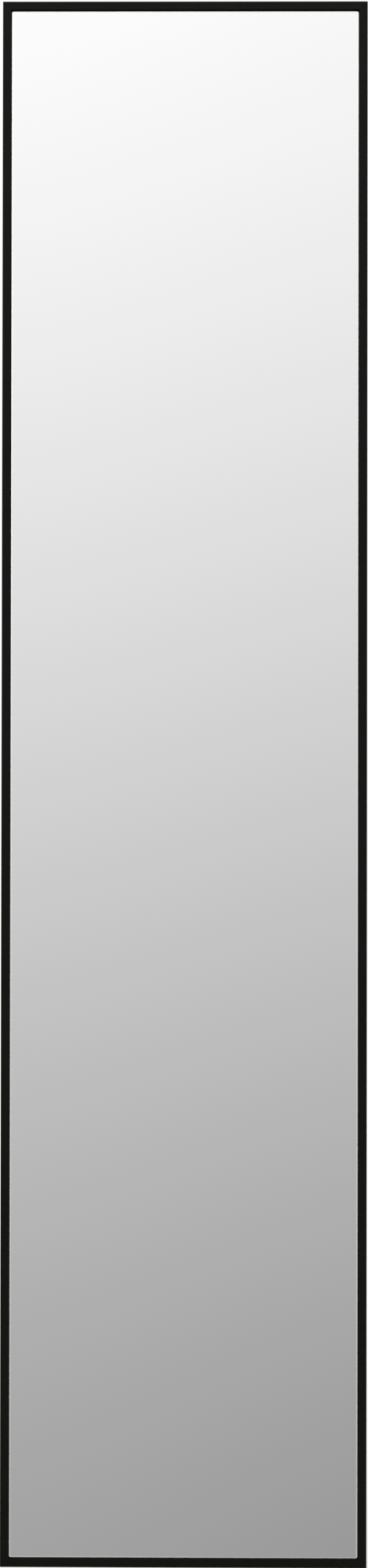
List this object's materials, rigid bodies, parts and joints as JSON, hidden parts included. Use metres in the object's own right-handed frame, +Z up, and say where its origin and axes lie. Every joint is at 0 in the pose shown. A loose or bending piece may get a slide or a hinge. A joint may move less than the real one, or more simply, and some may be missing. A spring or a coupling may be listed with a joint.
{
  "type": "pull-out wardrobe mirror",
  "caption": "Tall framed mirror panel that pulls out of a wardrobe on telescopic side-wall slides and swings open on a hinged upright carrier.",
  "frame": {"origin": "centre of the four wall screw holes, on the plane of the wardrobe's side wall", "axes": "+X is the way out along the slides, +Y points into the wardrobe's side wall, the mirror faces -Y, +Z is up; stored and shut is the rest position"},
  "size_m": [0.35, 0.0452, 1.5],
  "materials": {
    "black_aluminium": "matte black anodised",
    "key_alloy": "as cast",
    "silvered_glass": "polished, silvered, ground edge",
    "film": "woven backing film",
    "foam": "closed-cell foam",
    "soft_rubber": "matte",
    "board": "fibreboard, black faced",
    "brass": "knurled",
    "zinc_screws": "zinc plated",
    "hinge_steel": "satin nickel",
    "spring_steel": "blackened",
    "bearing_plastic": "natural nylon",
    "black_plastic": "moulded",
    "painted_steel": "matte black powder coat",
    "magnet": "nickel plated",
    "slide_steel": "bright zinc",
    "ball_steel": "polished"
  },
  "bodies": {
    "wall_side": {"upper_outer_member": "slide_steel", "upper_rear_bumper": "soft_rubber", "lower_outer_member": "slide_steel", "lower_rear_bumper": "soft_rubber"},
    "upper_middle_slide": {"upper_middle_member": "slide_steel"},
    "upper_outer_cage": {"upper_outer_retainer": "slide_steel", "upper_outer_balls": "ball_steel"},
    "upper_inner_cage": {"upper_inner_retainer": "slide_steel", "upper_inner_balls": "ball_steel"},
    "lower_middle_slide": {"lower_middle_member": "slide_steel"},
    "lower_outer_cage": {"lower_outer_retainer": "slide_steel", "lower_outer_balls": "ball_steel"},
    "lower_inner_cage": {"lower_inner_retainer": "slide_steel", "lower_inner_balls": "ball_steel"},
    "carriage": {"bottom_carriage_leaf": "hinge_steel", "bottom_hinge_pin": "hinge_steel", "carriage_leaf_nuts": "zinc_screws", "carriage_leaf_screws": "zinc_screws", "carrier_cap_bottom": "black_plastic", "carrier_cap_top": "black_plastic", "carrier_channel": "painted_steel", "catch_magnets": "magnet", "catch_screws": "zinc_screws", "hinge_washers": "bearing_plastic", "lower_catch_housing": "black_plastic", "lower_inner_member": "slide_steel", "middle_carriage_leaf": "hinge_steel", "middle_hinge_pin": "hinge_steel", "pin_clips": "spring_steel", "slide_nuts": "zinc_screws", "slide_screws": "zinc_screws", "swing_buffers": "soft_rubber", "top_carriage_leaf": "hinge_steel", "top_hinge_pin": "hinge_steel", "upper_catch_housing": "black_plastic", "upper_inner_member": "slide_steel"},
    "mirror_panel": {"front_stile": "black_aluminium", "rear_stile": "black_aluminium", "top_rail": "black_aluminium", "bottom_rail": "black_aluminium", "corner_key_top_front": "key_alloy", "corner_key_top_rear": "key_alloy", "corner_key_bottom_front": "key_alloy", "corner_key_bottom_rear": "key_alloy", "corner_key_grub_screws": "zinc_screws", "mirror_glass": "silvered_glass", "safety_film": "film", "ledge_tape": "foam", "foam_strips": "foam", "glass_setting_blocks": "soft_rubber", "back_board": "board", "back_board_screws": "zinc_screws", "board_inserts": "brass", "mirror_leaf_screws": "zinc_screws", "strike_plates": "hinge_steel", "strike_plate_screws": "zinc_screws", "top_mirror_leaf": "hinge_steel", "middle_mirror_leaf": "hinge_steel", "bottom_mirror_leaf": "hinge_steel"}
  },
  "joints": [
    {"name": "pull_out", "type": "slide", "parent": "wall_side", "child": "carriage", "axis": [1, 0, 0], "range_m": [0, 0.35]},
    {"name": "swivel", "type": "hinge", "parent": "carriage", "child": "mirror_panel", "pos_m": [0.16, -0.0205, 0], "axis": [0, 0, 1], "range_deg": [0, 90]},
    {"name": "upper_middle_slide_travel", "type": "slide", "parent": "wall_side", "child": "upper_middle_slide", "axis": [1, 0, 0], "range_m": [0, 0.175]},
    {"name": "upper_outer_cage_travel", "type": "slide", "parent": "wall_side", "child": "upper_outer_cage", "axis": [1, 0, 0], "range_m": [0, 0.0875]},
    {"name": "upper_inner_cage_travel", "type": "slide", "parent": "wall_side", "child": "upper_inner_cage", "axis": [1, 0, 0], "range_m": [0, 0.2625]},
    {"name": "lower_middle_slide_travel", "type": "slide", "parent": "wall_side", "child": "lower_middle_slide", "axis": [1, 0, 0], "range_m": [0, 0.175]},
    {"name": "lower_outer_cage_travel", "type": "slide", "parent": "wall_side", "child": "lower_outer_cage", "axis": [1, 0, 0], "range_m": [0, 0.0875]},
    {"name": "lower_inner_cage_travel", "type": "slide", "parent": "wall_side", "child": "lower_inner_cage", "axis": [1, 0, 0], "range_m": [0, 0.2625]}
  ],
  "couplings": [
    {"joint": "upper_middle_slide_travel", "follows": "pull_out", "ratio": 0.5},
    {"joint": "upper_outer_cage_travel", "follows": "pull_out", "ratio": 0.25},
    {"joint": "upper_inner_cage_travel", "follows": "pull_out", "ratio": 0.75},
    {"joint": "lower_middle_slide_travel", "follows": "pull_out", "ratio": 0.5},
    {"joint": "lower_outer_cage_travel", "follows": "pull_out", "ratio": 0.25},
    {"joint": "lower_inner_cage_travel", "follows": "pull_out", "ratio": 0.75}
  ]
}
